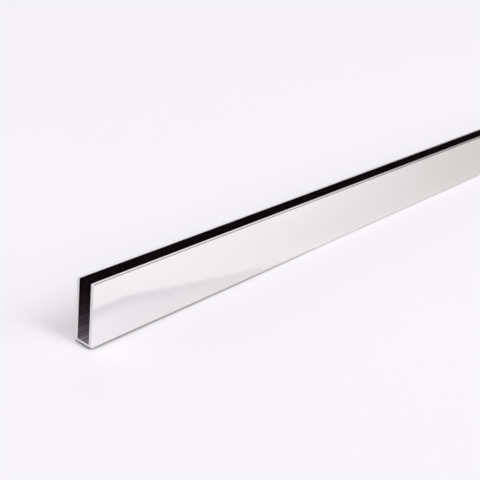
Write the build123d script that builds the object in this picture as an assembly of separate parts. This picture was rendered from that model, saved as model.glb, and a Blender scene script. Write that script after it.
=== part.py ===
"""Bright-polished aluminium U-channel: one extruded length of stock whose open slot takes the edge of a panel.

Frame: X along the length, Y across the web, Z up. The origin is the middle of the web's underside.
"""

import os

from build123d import *

# Driving dimensions, in millimetres
LENGTH = 1000.0  # between the two sawn ends
WEB_WIDTH = 10.0  # outside, over both flanges
FLANGE_HEIGHT = 30.0  # outside, from the web's underside to the flange tips
FLANGE_WALL = 1.5
WEB_WALL = 1.5
OUTER_RADIUS = 0.45  # outside, on all four long edges
ROOT_RADIUS = 0.3  # inside, where a flange meets the web
TIP_RADIUS = 0.15  # inside edge of a flange tip
EDGE_BREAK = 0.1  # chamfer that the file leaves round each sawn end


def round_corners(section, across, height, radius):
    """Rounds the section's two corners at one distance from its middle and one height above the underside."""
    level = section.vertices().filter_by_position(Axis.Y, height, height)
    left = level.filter_by_position(Axis.X, -across, -across)
    right = level.filter_by_position(Axis.X, across, across)
    fillet(left + right, radius)


def channel_section():
    """The U-shaped section, standing on its web with the slot upwards."""
    slot_width = WEB_WIDTH - 2 * FLANGE_WALL
    slot_depth = FLANGE_HEIGHT - WEB_WALL
    standing = (Align.CENTER, Align.MIN)
    with BuildSketch(Plane.YZ) as section:
        Rectangle(WEB_WIDTH, FLANGE_HEIGHT, align=standing)
        with Locations((0, WEB_WALL)):
            Rectangle(slot_width, slot_depth, align=standing, mode=Mode.SUBTRACT)
        round_corners(section, WEB_WIDTH / 2, 0, OUTER_RADIUS)
        round_corners(section, WEB_WIDTH / 2, FLANGE_HEIGHT, OUTER_RADIUS)
        round_corners(section, slot_width / 2, WEB_WALL, ROOT_RADIUS)
        round_corners(section, slot_width / 2, FLANGE_HEIGHT, TIP_RADIUS)
    return section.sketch


def u_channel():
    """The section pressed out to its length, half of it on each side of the origin, with its sawn ends eased."""
    bar = extrude(channel_section(), amount=LENGTH / 2, both=True)
    along = bar.faces().sort_by(Axis.X)
    return chamfer(along[0].edges() + along[-1].edges(), EDGE_BREAK)


os.makedirs("parts", exist_ok=True)
export_step(u_channel(), "parts/u_channel.step")
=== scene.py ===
"""Looks of a bright-polished aluminium U-channel: a metre of stock on its web, with the slot upwards.

Frame: X along the length, Y across the web, Z up, in metres. The camera looks at the sawn end at -X.
"""

import math

import bmesh
import bpy
from mathutils import Matrix, Vector


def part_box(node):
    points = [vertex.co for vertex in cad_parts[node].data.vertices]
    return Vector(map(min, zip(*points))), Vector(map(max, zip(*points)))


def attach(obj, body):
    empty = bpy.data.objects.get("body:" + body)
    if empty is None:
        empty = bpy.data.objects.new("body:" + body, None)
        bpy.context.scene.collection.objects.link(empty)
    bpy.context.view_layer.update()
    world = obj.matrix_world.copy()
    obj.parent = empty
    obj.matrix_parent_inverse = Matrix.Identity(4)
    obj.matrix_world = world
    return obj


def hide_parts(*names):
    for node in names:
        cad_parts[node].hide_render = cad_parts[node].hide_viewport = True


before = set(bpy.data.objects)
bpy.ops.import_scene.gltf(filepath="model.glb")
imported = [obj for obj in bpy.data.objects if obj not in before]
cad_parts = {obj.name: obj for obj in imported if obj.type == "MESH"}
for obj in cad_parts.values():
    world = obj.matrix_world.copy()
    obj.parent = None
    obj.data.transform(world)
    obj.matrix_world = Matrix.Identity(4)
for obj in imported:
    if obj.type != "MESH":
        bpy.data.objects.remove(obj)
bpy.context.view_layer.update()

LOW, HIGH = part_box("u_channel")
MM = 0.001

# The bar's section and ends
LENGTH, WEB_WIDTH, FLANGE_HEIGHT = HIGH - LOW
FLANGE_WALL = 1.5 * MM
WEB_WALL = 1.5 * MM
OUTER_RADIUS = 0.45 * MM  # outside, on all four long edges
ROOT_RADIUS = 0.3 * MM  # inside, where a flange meets the web
TIP_RADIUS = 0.15 * MM  # inside edge of a flange tip
EDGE_BREAK = 0.1 * MM  # taken off the sawn edges with a file
ARC_STEPS = 6  # faces round a quarter turn
BREAK_STEPS = 3
SLOT_HALF = WEB_WIDTH / 2 - FLANGE_WALL
FLAT_WEIGHT = 100  # the large faces lead the shading
NEAR = 0.01 * MM  # how close counts as the same place

# How a face is told by its normal
FACING = 0.9  # a face looks a way if its normal has more than this along it
SAWN = 0.2  # a face is sawn if its normal has more than this along the bar
UNDERNEATH = -0.5  # a face is the underside's if its normal has no more than this upwards

# Grains: changes a metre along the bar, changes a metre across it, and detail
DIE_GRAIN = (2.0, 2600.0, 3.0)
HAZE_GRAIN = (25.0, 120.0, 3.0)
SPOT_GRAIN = (320.0, 320.0, 1.0)
STREAK_GRAIN = (2.0, 700.0, 2.0)
SCUFF_GRAIN = (30.0, 900.0, 4.0)
RUBBED_GRAIN = (4.0, 5000.0, 3.0)
GRAIN_SPAN = (0.3, 0.7)  # the part of a grain that counts
STREAK_SPAN = (0.35, 0.65)
SPOT_SPAN = (0.79, 0.86)

# Finishes: colour and roughness from the low to the high side of the grain, and its depth
POLISHED_COLOURS = ((0.862, 0.862, 0.867), (0.892, 0.892, 0.897))
POLISHED_ROUGHNESS = (0.010, 0.028)
WALL_COLOURS = ((0.62, 0.57, 0.60), (0.70, 0.65, 0.68))
WALL_ROUGHNESS = (0.05, 0.09)
WALL_DEPTH = 0.001 * MM
BOTTOM_COLOURS = ((0.22, 0.205, 0.215), (0.44, 0.415, 0.43))
BOTTOM_ROUGHNESS = (0.35, 0.55)
BOTTOM_DEPTH = 0.01 * MM
BOTTOM_METALNESS = 0.3
SCUFF_COLOURS = ((0.34, 0.33, 0.34), (0.52, 0.51, 0.52))
SCUFF_ROUGHNESS = (0.30, 0.55)
SCUFF_DEPTH = 0.01 * MM
TIP_COLOURS = ((0.90, 0.90, 0.905), (0.97, 0.97, 0.975))
TIP_ROUGHNESS = (0.16, 0.26)
TIP_DEPTH = 0.002 * MM
END_COLOURS = ((0.62, 0.62, 0.655), (0.81, 0.81, 0.85))
END_ROUGHNESS = (0.28, 0.40)
END_DEPTH = 0.008 * MM

# Marks on the metal, and a painted shade along the foot of the ends
SMUDGE_PLACE = Vector((46.1, 0, 10.1)) * MM + LOW  # on the front face, from the near end
SMUDGE_RADIUS = 1.3 * MM
SMUDGE_CORE = SMUDGE_RADIUS / 4
MARK_COLOUR = (0.78, 0.78, 0.785)  # of the smudge and the dried spots
MARK_ROUGHNESS = 0.05  # on top of the polish
PAINTED_FOOT_SHADE_TOP = (0.38 * MM, 0.56 * MM)  # top of the painted dark band along the foot of an end, which stands in for the contact shadow under it
# Colour of the painted contact shadow along the foot of an end
PAINTED_FOOT_SHADE_COLOUR = (0.05, 0.048, 0.05)
BLADE_MIDDLE = Vector((0, -95, -60)) * MM
SAW_LINES = 2800.0  # changes a metre across the arcs that the saw leaves on an end
SAW_DETAIL = 2.0

# The map for baked pictures: two long strips, and the ends side by side above them
MAP_MARGIN = 0.01
MAP_OUTSIDE = 0.215  # middle of the strip for the outside
MAP_SLOT = 0.600  # middle of the strip for the slot
MAP_ACROSS = 5.5  # share of the map for a metre across a strip
MAP_ENDS = 0.80  # lower side of both ends
MAP_RIGHT_END = 0.5  # from the end at -X to the one at +X
MAP_END_SCALE = 15.5  # share of the map for a metre of an end

# The camera, from the lower front corner of the near end
CAMERA_OFFSET = Vector((-236.4, -250.3, 204.7)) * MM
CAMERA_AZIMUTH = math.radians(-52.888)
CAMERA_ELEVATION = math.radians(23.528)
CAMERA_ROLL = math.radians(6.218)
CAMERA_LENS = 70.56  # in millimetres, as the sensor
CAMERA_SENSOR = 36.0
CAMERA_CLIP = 1 * MM  # nothing nearer than this is seen

# The floor: the bar bears on it beyond a shallow dish at the near end
FLOOR_SIDE = 80.0
FLOOR_GAP = 0.05 * MM  # keeps the floor clear of the underside
DISH_REACH = 170 * MM  # along the bar, from the near end
DISH_DEPTH = 1.0 * MM
DISH_LINES = 17
FLOOR_SEEN = (0.876, 0.874, 0.880)  # by the camera
FLOOR_MIRRORED = (0.868, 0.854, 0.809)  # in the bar
FLOOR_SHINE = 0.5  # in the bar, and none to the camera
FLOOR_ROUGHNESS = 0.02

# The lamp, and how often its light and the room's is thrown on
LAMP_PLACE = Vector((0.3, -6.4, 7.4))
LAMP_AIM = Vector((-0.5, 0, 0))
LAMP_SIDES = (2.6, 5.4)
LAMP_WATTS = 296.0
BOUNCES = 24
MIRROR_BOUNCES = 20  # the walls of the slot mirror each other

# Light of the room by its sine above the seam across the bright front
ROOM = (
    (-1.0, (0.30, 0.28, 0.27)),
    (-0.1, (1.20, 1.12, 1.12)),
    (0.1, (1.04, 1.02, 1.04)),
    (0.5, (1.04, 1.02, 1.02)),
    (0.75, (0.75, 0.73, 0.76)),
    (0.9, (0.50, 0.48, 0.50)),
)
FOOT_COLOUR = (0.12, 0.12, 0.13)
LEFT_COLOUR = (1.96, 1.92, 1.98)
FRONT_COLOUR = (2.05, 1.92, 2.30)
SEAMSIDE_COLOUR = (2.82, 2.64, 3.14)  # of the front, just below the seam
UPPER_COLOUR = (1.93, 1.90, 2.90)
SEAM_COLOUR = (0.0, 0.0, 0.75)
SHADE_COLOUR = (0.10, 0.12, 0.20)
CORNER_COLOUR = (0.05, 0.04, 0.03)
BACKDROP_COLOUR = (0.93, 0.92, 0.93)
# Square to the two straight runs of the seam
SEAM_NORMALS = (Vector((-0.031, 0.716, 1)).normalized(), Vector((-0.219, 0.525, 1)).normalized())
# Sines above the seam
FRONT_RISE = (-0.045, -0.003)
SEAM_START = (-0.001, 0.0015)
SEAM_STOP = (0.0050, 0.0150)
# Swings from straight in front of the bar towards +X
FRONT_SIDE = (math.radians(10), math.radians(35))
FRONT_RISE_SIDE = (math.radians(40), math.radians(52))
FRONT_END = (math.radians(75), math.radians(95))
SEAM_END = (math.radians(43), math.radians(58))
SHADE = (math.radians(41), math.radians(61))
CORNER = (math.radians(52), math.radians(69.5))
CORNER_END = (math.radians(95), math.radians(125))
# Sines above the horizon
FOOT = (0.12, 0.38)
FRONT_HEAD = (0.53, 0.68)
CORNER_TOP = (0.88, 0.99)
# Cosines
LEFT = (-0.2, -0.7)  # from +X
PATCH_TOWARDS = Vector((0.62, -0.15, 0.77))  # a dark patch high on the right
PATCH_RIM = (0.80, 0.93)  # from the middle of the patch

# Colour sockets of a mix node: the two that go in, and the one that comes out
MIX_FIRST, MIX_SECOND, MIX_RESULT = 6, 7, 2


def edit(piece, kind):
    """Opens one piece for modelling with nothing selected in it."""
    bpy.ops.object.select_all(action="DESELECT")
    bpy.context.view_layer.objects.active = piece
    piece.select_set(True)
    bpy.ops.object.mode_set(mode="EDIT")
    bpy.ops.mesh.select_mode(type=kind)
    bpy.ops.mesh.select_all(action="DESELECT")


def pick_faces(piece, wanted):
    """Selects the faces whose middle and normal are wanted."""
    bpy.ops.mesh.select_mode(type="FACE")
    mesh = bmesh.from_edit_mesh(piece.data)
    for face in mesh.faces:
        face.select_set(wanted(face.calc_center_median(), face.normal))
    mesh.select_flush_mode()
    bmesh.update_edit_mesh(piece.data)


def pick_edges(piece, wanted):
    """Selects the edges both of whose ends are wanted."""
    bpy.ops.mesh.select_mode(type="EDGE")
    mesh = bmesh.from_edit_mesh(piece.data)
    for edge in mesh.edges:
        edge.select_set(all(wanted(vertex.co) for vertex in edge.verts))
    mesh.select_flush_mode()
    bmesh.update_edit_mesh(piece.data)


def round_long_edges(piece, across, height, radius):
    """Rounds the edges along the bar at one distance from its middle plane and one height."""
    def at_place(point):
        return abs(abs(point.y) - across) < NEAR and abs(point.z - height) < NEAR
    pick_edges(piece, at_place)
    bpy.ops.mesh.bevel(offset=radius, segments=ARC_STEPS, affect="EDGES")


def raise_flanges(piece):
    """Marks both flanges off on the web and draws them up to their height."""
    for across in (SLOT_HALF, -SLOT_HALF):
        bpy.ops.mesh.select_all(action="SELECT")
        bpy.ops.mesh.bisect(plane_co=(0, across, 0), plane_no=(0, 1, 0))
    pick_faces(piece, lambda middle, normal: normal.z > FACING and abs(middle.y) > SLOT_HALF)
    rise = (0, 0, FLANGE_HEIGHT - WEB_WALL)
    bpy.ops.mesh.extrude_region_move(TRANSFORM_OT_translate={"value": rise})


def clear_seams(piece):
    """Makes each end one face, and the underside too."""
    for facing in (Vector((1, 0, 0)), Vector((-1, 0, 0)), Vector((0, 0, -1))):
        pick_faces(piece, lambda middle, normal: normal.dot(facing) > FACING)
        bpy.ops.mesh.dissolve_faces()


def break_sawn_edges(piece):
    """Pushes each end out to the full length, with a small rounding all round it."""
    turns = [math.pi / 2 * step / BREAK_STEPS for step in range(BREAK_STEPS + 1)]
    for facing in (1, -1):
        pick_faces(piece, lambda middle, normal: normal.x * facing > FACING)
        for before, after in zip(turns, turns[1:]):
            inward = EDGE_BREAK * (math.cos(before) - math.cos(after))
            outward = EDGE_BREAK * (math.sin(after) - math.sin(before))
            bpy.ops.mesh.inset(thickness=inward, depth=outward)


def smooth_roundings(piece):
    """Shades the roundings smooth and leaves the flats flat."""
    bpy.ops.object.shade_smooth()
    flats = piece.modifiers.new("flats", "WEIGHTED_NORMAL")
    flats.weight = FLAT_WEIGHT
    bpy.ops.object.modifier_apply(modifier=flats.name)


def channel_bar():
    """The bar: a web with two flanges drawn up from it, and every edge rounded by the die or the file."""
    bpy.ops.object.select_all(action="DESELECT")
    run = LENGTH - 2 * EDGE_BREAK
    bpy.ops.mesh.primitive_cube_add(
        size=1, location=(0, 0, WEB_WALL / 2), scale=(run, WEB_WIDTH, WEB_WALL)
    )
    bpy.ops.object.transform_apply(location=True, rotation=True, scale=True)
    piece = bpy.context.active_object
    piece.name = "channel_bar"
    edit(piece, "FACE")
    raise_flanges(piece)
    clear_seams(piece)
    round_long_edges(piece, SLOT_HALF, WEB_WALL, ROOT_RADIUS)
    round_long_edges(piece, WEB_WIDTH / 2, 0, OUTER_RADIUS)
    round_long_edges(piece, SLOT_HALF, FLANGE_HEIGHT, TIP_RADIUS)
    round_long_edges(piece, WEB_WIDTH / 2, FLANGE_HEIGHT, OUTER_RADIUS)
    break_sawn_edges(piece)
    bpy.ops.object.mode_set(mode="OBJECT")
    smooth_roundings(piece)
    return piece


def is_sawn(face):
    """Whether a face belongs to a sawn end or to the rounding of it."""
    return abs(face.normal.x) > SAWN


def in_slot(face):
    """Whether a face belongs to the slot, with the inner edges of the flange tips."""
    return abs(face.center.y) < SLOT_HALF + TIP_RADIUS and face.center.z > WEB_WALL - NEAR


def on_tip(face):
    """Whether a face belongs to the top of a flange, short of its outer edge."""
    high = face.center.z > FLANGE_HEIGHT - TIP_RADIUS
    return high and abs(face.center.y) < WEB_WIDTH / 2 - OUTER_RADIUS


def place_on_map(point, face):
    """Where a corner of a face lies on the map for baked pictures."""
    if is_sawn(face):
        column = MAP_MARGIN + (MAP_RIGHT_END if point.x > 0 else 0)
        return column + point.z * MAP_END_SCALE, MAP_ENDS + (point.y + WEB_WIDTH / 2) * MAP_END_SCALE
    along = MAP_MARGIN + (point.x / LENGTH + 0.5) * (1 - 2 * MAP_MARGIN)
    out, up = abs(point.y), point.z
    if in_slot(face):
        middle, girth = MAP_SLOT, out + up - WEB_WALL
    elif up < FLANGE_HEIGHT / 2:
        middle, girth = MAP_OUTSIDE, out + up
    else:
        middle, girth = MAP_OUTSIDE, WEB_WIDTH - out + up
    return along, middle + math.copysign(girth, point.y) * MAP_ACROSS


def map_for_baking(piece):
    """Spreads the surface on a map: the faces along the bar wide across, and the two ends large."""
    layer = piece.data.uv_layers[0]
    layer.name = "OFBake"
    for face in piece.data.polygons:
        for corner in face.loop_indices:
            point = piece.data.vertices[piece.data.loops[corner].vertex_index].co
            layer.data[corner].uv = place_on_map(point, face)


def add(tree, kind, settings=None, sockets=None):
    """A node, with its settings, and its sockets given a constant or another node's output."""
    made = tree.nodes.new(kind)
    for name, value in (settings or {}).items():
        setattr(made, name, value)
    for name, value in (sockets or {}).items():
        if isinstance(value, bpy.types.NodeSocket):
            tree.links.new(value, made.inputs[name])
        else:
            made.inputs[name].default_value = value
    return made


def spread(tree, value, before, after, low=0.0, high=1.0):
    """A value eased from low to high between two marks."""
    return add(
        tree,
        "ShaderNodeMapRange",
        {"interpolation_type": "SMOOTHSTEP"},
        {"Value": value, "From Min": before, "From Max": after, "To Min": low, "To Max": high},
    ).outputs["Result"]


def worked(tree, operation, first, second):
    """Two values put through one step of arithmetic."""
    return add(tree, "ShaderNodeMath", {"operation": operation}, {0: first, 1: second}).outputs[0]


def product(tree, *values):
    """All the values multiplied together."""
    result = values[0]
    for value in values[1:]:
        result = worked(tree, "MULTIPLY", result, value)
    return result


def mixed(tree, share, first, second):
    """Two colours mixed by a share; each is a node's output, or red, green and blue."""
    sockets = {0: share}
    for place, colour in ((MIX_FIRST, first), (MIX_SECOND, second)):
        sockets[place] = colour if isinstance(colour, bpy.types.NodeSocket) else (*colour, 1)
    return add(tree, "ShaderNodeMix", {"data_type": "RGBA"}, sockets).outputs[MIX_RESULT]


def measured(tree, operation, first, second):
    """The one value that two vectors give."""
    vectors = {0: first, 1: second}
    return add(tree, "ShaderNodeVectorMath", {"operation": operation}, vectors).outputs["Value"]


def metal(name):
    """A new metal: its node tree and its shader, with nothing set but the metalness."""
    material = bpy.data.materials.new(name)
    material.use_nodes = True
    shader = material.node_tree.nodes["Principled BSDF"]
    shader.inputs["Metallic"].default_value = 1.0
    return material, material.node_tree, shader


def coat(tree, shader, colour, rough, relief=None):
    """Gives a metal its colour, its roughness and, where it has one, its relief."""
    tree.links.new(colour, shader.inputs["Base Color"])
    tree.links.new(rough, shader.inputs["Roughness"])
    if relief is not None:
        tree.links.new(relief, shader.inputs["Normal"])


def noise_along(tree, along, across, detail):
    """Noise drawn out along the bar, from one of the grains."""
    place = add(tree, "ShaderNodeTexCoord").outputs["Object"]
    stretch = add(tree, "ShaderNodeMapping", {}, {"Vector": place, "Scale": (along, across, across)})
    return add(
        tree, "ShaderNodeTexNoise", {}, {"Vector": stretch.outputs[0], "Scale": 1.0, "Detail": detail}
    ).outputs["Fac"]


def grained(tree, height, depth):
    """A normal that follows a height from 0 to 1, with so many metres between them."""
    return add(tree, "ShaderNodeBump", {}, {"Height": height, "Distance": depth}).outputs["Normal"]


def smudge(tree):
    """The one smudge on the front face: 1 in its middle and 0 from its rim on."""
    place = add(tree, "ShaderNodeTexCoord").outputs["Object"]
    apart = measured(tree, "DISTANCE", place, SMUDGE_PLACE)
    return spread(tree, apart, SMUDGE_CORE, SMUDGE_RADIUS, 1, 0)


def saw_arcs(tree):
    """Uneven rings round the middle of the saw blade, beside the bar."""
    place = add(tree, "ShaderNodeTexCoord").outputs["Object"]
    flat = add(tree, "ShaderNodeVectorMath", {"operation": "MULTIPLY"}, {0: place, 1: (0, 1, 1)})
    reach = measured(tree, "DISTANCE", flat.outputs["Vector"], BLADE_MIDDLE)
    rings = add(
        tree,
        "ShaderNodeTexNoise",
        {"noise_dimensions": "1D"},
        {"W": reach, "Scale": SAW_LINES, "Detail": SAW_DETAIL},
    ).outputs["Fac"]
    return spread(tree, rings, *GRAIN_SPAN)


def painted_foot_shade(tree):
    """Painted shade: a thin dark band along the foot of a sawn end, which stands in for the contact shadow
    under it. It is 1 in the band and 0 above it.
    """
    place = add(tree, "ShaderNodeTexCoord").outputs["Object"]
    height = add(tree, "ShaderNodeSeparateXYZ", {}, {0: place}).outputs["Z"]
    return spread(tree, height, *PAINTED_FOOT_SHADE_TOP, 1, 0)


def polished_outside():
    """Outside of the bar: buffed bright, with a last trace of the die, some haze and dried spots in it."""
    material, tree, shader = metal("polished_outside")
    lines = noise_along(tree, *DIE_GRAIN)
    haze = noise_along(tree, *HAZE_GRAIN)
    spots = spread(tree, noise_along(tree, *SPOT_GRAIN), *SPOT_SPAN)
    marks = worked(tree, "MAXIMUM", spots, smudge(tree))
    bright = mixed(tree, lines, *POLISHED_COLOURS)
    polish = spread(tree, haze, *GRAIN_SPAN, *POLISHED_ROUGHNESS)
    rough = worked(tree, "ADD", polish, product(tree, marks, MARK_ROUGHNESS))
    coat(tree, shader, mixed(tree, marks, bright, MARK_COLOUR), rough)
    return material


def slot_walls():
    """Inner faces of the flanges: as the die leaves them, greyer, with lines along the bar."""
    material, tree, shader = metal("slot_walls")
    lines = noise_along(tree, *DIE_GRAIN)
    grey = mixed(tree, lines, *WALL_COLOURS)
    rough = spread(tree, lines, *GRAIN_SPAN, *WALL_ROUGHNESS)
    coat(tree, shader, grey, rough, grained(tree, lines, WALL_DEPTH))
    return material


def slot_floor():
    """Floor of the slot: rough from the die and dull, in long streaks."""
    material, tree, shader = metal("slot_floor")
    shader.inputs["Metallic"].default_value = BOTTOM_METALNESS
    streaks = spread(tree, noise_along(tree, *STREAK_GRAIN), *STREAK_SPAN)
    lines = noise_along(tree, *DIE_GRAIN)
    dull = mixed(tree, streaks, *BOTTOM_COLOURS)
    rough = spread(tree, lines, *GRAIN_SPAN, *BOTTOM_ROUGHNESS)
    coat(tree, shader, dull, rough, grained(tree, lines, BOTTOM_DEPTH))
    return material


def scuffed_underside():
    """Underside of the web: dull and scuffed from lying on other bars."""
    material, tree, shader = metal("scuffed_underside")
    scuffs = noise_along(tree, *SCUFF_GRAIN)
    dull = mixed(tree, scuffs, *SCUFF_COLOURS)
    rough = spread(tree, scuffs, *GRAIN_SPAN, *SCUFF_ROUGHNESS)
    coat(tree, shader, dull, rough, grained(tree, scuffs, SCUFF_DEPTH))
    return material


def satin_tips():
    """Tops of the flanges: rubbed satin along the bar."""
    material, tree, shader = metal("satin_tips")
    lines = noise_along(tree, *RUBBED_GRAIN)
    satin = mixed(tree, lines, *TIP_COLOURS)
    rough = spread(tree, lines, *GRAIN_SPAN, *TIP_ROUGHNESS)
    coat(tree, shader, satin, rough, grained(tree, lines, TIP_DEPTH))
    return material


def sawn_ends():
    """Sawn ends: satin, with the arcs of the blade, and a painted contact shadow along the foot."""
    material, tree, shader = metal("sawn_ends")
    arcs = saw_arcs(tree)
    satin = mixed(tree, arcs, *END_COLOURS)
    rough = spread(tree, arcs, 0, 1, *END_ROUGHNESS)
    # painted shade: the contact shadow along the foot of the end, painted dark
    foot_shaded = mixed(tree, painted_foot_shade(tree), satin, PAINTED_FOOT_SHADE_COLOUR)
    coat(tree, shader, foot_shaded, rough, grained(tree, arcs, END_DEPTH))
    return material


def dress(piece):
    """Gives each part of the bar's surface its finish."""
    finishes = (
        polished_outside(),
        scuffed_underside(),
        slot_walls(),
        slot_floor(),
        satin_tips(),
        sawn_ends(),
    )
    for material in finishes:
        piece.data.materials.append(material)
    outside, underside, walls, floor, tips, ends = range(len(finishes))
    for face in piece.data.polygons:
        face.material_index = outside if face.normal.z > UNDERNEATH else underside
        if in_slot(face):
            face.material_index = floor if face.center.z < WEB_WALL + ROOT_RADIUS else walls
        if on_tip(face):
            face.material_index = tips
        if is_sawn(face):
            face.material_index = ends


def floor_finish():
    """A pale, even white to the camera, and a glossy one as the bar mirrors it."""
    material = bpy.data.materials.new("pale_floor")
    material.use_nodes = True
    tree = material.node_tree
    shader = tree.nodes["Principled BSDF"]
    seen = add(tree, "ShaderNodeLightPath").outputs["Is Camera Ray"]
    tree.links.new(mixed(tree, seen, FLOOR_MIRRORED, FLOOR_SEEN), shader.inputs["Base Color"])
    tree.links.new(spread(tree, seen, 0, 1, FLOOR_SHINE, 0), shader.inputs["Specular IOR Level"])
    shader.inputs["Roughness"].default_value = FLOOR_ROUGHNESS
    return material


def dish(floor):
    """Lowers the floor from the near end outwards, and by less and less along the bar from there."""
    step = DISH_REACH / DISH_LINES
    edit(floor, "EDGE")
    for line in range(DISH_LINES + 1):
        bpy.ops.mesh.select_all(action="SELECT")
        bpy.ops.mesh.bisect(plane_co=(LOW.x + line * step, 0, 0), plane_no=(1, 0, 0))
    for line in range(DISH_LINES):
        pick_edges(floor, lambda point: abs(max(point.x, LOW.x) - LOW.x - line * step) < step / 2)
        drop = DISH_DEPTH * (1 - (line / DISH_LINES) ** 2)
        bpy.ops.transform.translate(value=(0, 0, -drop))
    bpy.ops.object.mode_set(mode="OBJECT")


def studio_floor():
    """A wide pale floor with its dish."""
    bpy.ops.object.select_all(action="DESELECT")
    bpy.ops.mesh.primitive_plane_add(size=FLOOR_SIDE, location=(0, 0, LOW.z - FLOOR_GAP))
    bpy.ops.object.transform_apply(location=True, rotation=True, scale=True)
    floor = bpy.context.active_object
    floor.name = "studio_floor"
    dish(floor)
    floor.data.materials.append(floor_finish())
    return floor


def room_light(tree, above):
    """Colour of the room by its sine above the seam."""
    share = add(tree, "ShaderNodeMapRange", {}, {"Value": above, "From Min": -1.0}).outputs["Result"]
    ramp = add(tree, "ShaderNodeValToRGB", {}, {0: share})
    stops = ramp.color_ramp.elements
    while len(stops) < len(ROOM):
        stops.new(1.0)
    for stop, (sine, colour) in zip(stops, ROOM):
        stop.position = (sine + 1) / 2
        stop.color = (*colour, 1)
    return ramp.outputs["Color"]


def front_light(tree, light, above, swing, height):
    """The light with a bright front in it, which has a seam across it and a shade beyond its right side."""
    past_seam = spread(tree, above, *SEAM_START)
    level = product(tree, spread(tree, swing, *FRONT_END, 1, 0), spread(tree, height, *FRONT_HEAD, 1, 0))
    front = product(tree, level, spread(tree, swing, *FRONT_SIDE))
    rise = product(tree, spread(tree, above, *FRONT_RISE), spread(tree, swing, *FRONT_RISE_SIDE))
    below = mixed(tree, rise, FRONT_COLOUR, SEAMSIDE_COLOUR)
    light = mixed(tree, front, light, mixed(tree, past_seam, below, UPPER_COLOUR))
    shade = product(tree, level, past_seam, spread(tree, swing, *SHADE))
    light = mixed(tree, shade, light, SHADE_COLOUR)
    before_stop = spread(tree, above, *SEAM_STOP, 1, 0)
    seam = product(tree, past_seam, before_stop, spread(tree, swing, *SEAM_END, 1, 0))
    return mixed(tree, seam, light, SEAM_COLOUR)


def corner_light(tree, light, swing, height):
    """The light with a dark corner in it, to the right of the front."""
    corner = product(tree, spread(tree, swing, *CORNER), spread(tree, swing, *CORNER_END, 1, 0))
    corner = product(tree, corner, spread(tree, height, *CORNER_TOP, 1, 0))
    return mixed(tree, corner, light, CORNER_COLOUR)


def studio_world():
    """The room that the bar mirrors, and a pale white where the camera itself looks past the floor."""
    world = bpy.data.worlds.new("studio_world")
    bpy.context.scene.world = world
    world.use_nodes = True
    tree = world.node_tree
    look = add(tree, "ShaderNodeTexCoord").outputs["Generated"]
    x, y, height = add(tree, "ShaderNodeSeparateXYZ", {}, {0: look}).outputs
    swing = worked(tree, "ARCTAN2", x, worked(tree, "MULTIPLY", y, -1))
    first_run, second_run = (measured(tree, "DOT_PRODUCT", look, normal) for normal in SEAM_NORMALS)
    above = worked(tree, "MINIMUM", first_run, second_run)
    patch = measured(tree, "DOT_PRODUCT", look, PATCH_TOWARDS)
    light = mixed(tree, spread(tree, x, *LEFT), room_light(tree, above), LEFT_COLOUR)
    light = front_light(tree, light, above, swing, height)
    light = corner_light(tree, light, swing, height)
    light = mixed(tree, spread(tree, patch, *PATCH_RIM), light, CORNER_COLOUR)
    light = mixed(tree, spread(tree, height, *FOOT), FOOT_COLOUR, light)
    seen = add(tree, "ShaderNodeLightPath").outputs["Is Camera Ray"]
    tree.links.new(mixed(tree, seen, light, BACKDROP_COLOUR), tree.nodes["Background"].inputs["Color"])


def key_lamp():
    """A large softbox in front of the bar and above it."""
    data = bpy.data.lights.new("key_light", "AREA")
    data.shape = "RECTANGLE"
    data.size, data.size_y = LAMP_SIDES
    data.energy = LAMP_WATTS
    lamp = bpy.data.objects.new("key_light", data)
    bpy.context.scene.collection.objects.link(lamp)
    lamp.location = LAMP_PLACE
    lamp.rotation_euler = (LAMP_AIM - LAMP_PLACE).to_track_quat("-Z", "Y").to_euler()


def photo_camera():
    """The camera, where the photograph was taken from."""
    data = bpy.data.cameras.new("photo_camera")
    data.sensor_width = CAMERA_SENSOR
    data.lens = CAMERA_LENS
    data.clip_start = CAMERA_CLIP
    camera = bpy.data.objects.new("photo_camera", data)
    bpy.context.scene.collection.objects.link(camera)
    turned = Matrix.Rotation(CAMERA_AZIMUTH, 4, "Z")
    tilted = Matrix.Rotation(math.pi / 2 - CAMERA_ELEVATION, 4, "X")
    rolled = Matrix.Rotation(CAMERA_ROLL, 4, "Z")
    camera.matrix_world = Matrix.Translation(LOW + CAMERA_OFFSET) @ turned @ tilted @ rolled
    bpy.context.scene.camera = camera


bar = channel_bar()
map_for_baking(bar)
dress(bar)
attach(bar, "root")
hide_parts("u_channel")

studio_floor()
studio_world()
key_lamp()
photo_camera()

scene = bpy.context.scene
scene.view_settings.view_transform = "Standard"
scene.cycles.max_bounces = BOUNCES
scene.cycles.glossy_bounces = MIRROR_BOUNCES
